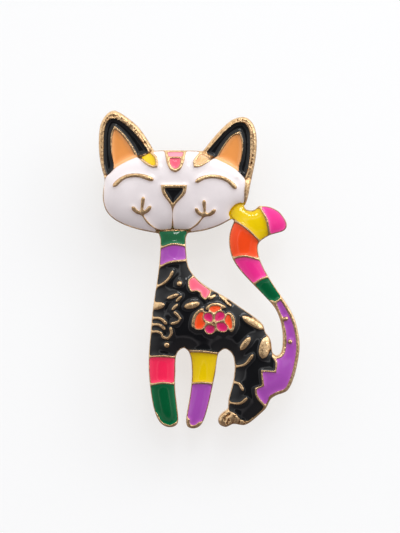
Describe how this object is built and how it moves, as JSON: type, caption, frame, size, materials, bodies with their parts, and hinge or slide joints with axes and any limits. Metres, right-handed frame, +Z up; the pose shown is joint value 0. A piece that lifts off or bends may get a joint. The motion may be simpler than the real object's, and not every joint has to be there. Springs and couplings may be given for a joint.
{
  "type": "enamel pin",
  "caption": "Sitting cat brooch: domed gold-plated casting with coloured enamel pockets, and a hinged pin stem closed by a turning safety catch.",
  "frame": {"origin": "middle of the pin bar on the casting's flat back plane, behind the middle of the head", "axes": "+Z up the cat as worn, +Y out of the back towards the cloth, +X to the right of someone looking at the front"},
  "size_m": [0.0378, 0.0098, 0.0597],
  "materials": {
    "gold_plate": "pale gold plate, polished on the ridges and satin on the cast sides and back",
    "steel": "nickel-plated steel",
    "enamel_white": "glossy pearl white enamel",
    "enamel_black": "glossy black enamel",
    "enamel_ear_orange": "glossy soft orange enamel",
    "enamel_vermilion": "glossy vermilion enamel",
    "enamel_yellow": "glossy yellow enamel",
    "enamel_peach": "glossy peach enamel",
    "enamel_light_pink": "glossy light pink enamel",
    "enamel_coral": "glossy coral pink enamel",
    "enamel_red": "glossy pinkish red enamel",
    "enamel_magenta": "glossy hot pink enamel",
    "enamel_crimson": "glossy crimson pink enamel",
    "enamel_green": "glossy deep green enamel",
    "enamel_purple": "glossy purple enamel"
  },
  "bodies": {
    "brooch": {"cast_body": "gold_plate", "face_white_enamel": "enamel_white", "nose_black_enamel": "enamel_black", "left_brow_yellow_enamel": "enamel_yellow", "right_brow_peach_enamel": "enamel_peach", "forehead_light_pink_enamel": "enamel_light_pink", "forehead_deep_pink_enamel": "enamel_coral", "left_ear_black_enamel": "enamel_black", "left_ear_orange_enamel": "enamel_ear_orange", "right_ear_black_enamel": "enamel_black", "right_ear_orange_enamel": "enamel_ear_orange", "neck_green_enamel": "enamel_green", "neck_purple_enamel": "enamel_purple", "body_black_enamel": "enamel_black", "shoulder_pink_enamel": "enamel_coral", "flower_left_orange_enamel": "enamel_vermilion", "flower_top_orange_enamel": "enamel_vermilion", "flower_right_orange_enamel": "enamel_vermilion", "petal_1_pink_enamel": "enamel_crimson", "petal_2_pink_enamel": "enamel_crimson", "petal_3_pink_enamel": "enamel_crimson", "petal_4_pink_enamel": "enamel_crimson", "front_leg_red_enamel": "enamel_red", "front_leg_green_enamel": "enamel_green", "middle_leg_yellow_enamel": "enamel_yellow", "middle_leg_purple_enamel": "enamel_purple", "tail_purple_enamel": "enamel_purple", "tail_green_enamel": "enamel_green", "tail_pink_enamel": "enamel_magenta", "tail_orange_enamel": "enamel_vermilion", "tail_yellow_enamel": "enamel_yellow", "tail_tip_pink_enamel": "enamel_magenta", "back_bar": "steel", "hinge_rivet": "steel", "catch_body": "steel"},
    "stem": {"pin_stem": "steel"},
    "lock": {"lock_rotor": "steel"}
  },
  "joints": [
    {"name": "pin_hinge", "type": "hinge", "parent": "brooch", "child": "stem", "pos_m": [-0.0104, 0.00285, 0], "axis": [0, 0, 1], "range_deg": [0, 110]},
    {"name": "lock_turn", "type": "hinge", "parent": "brooch", "child": "lock", "pos_m": [0.0104, 0.00285, 0], "axis": [1, 0, 0], "range_deg": [0, 130]}
  ]
}
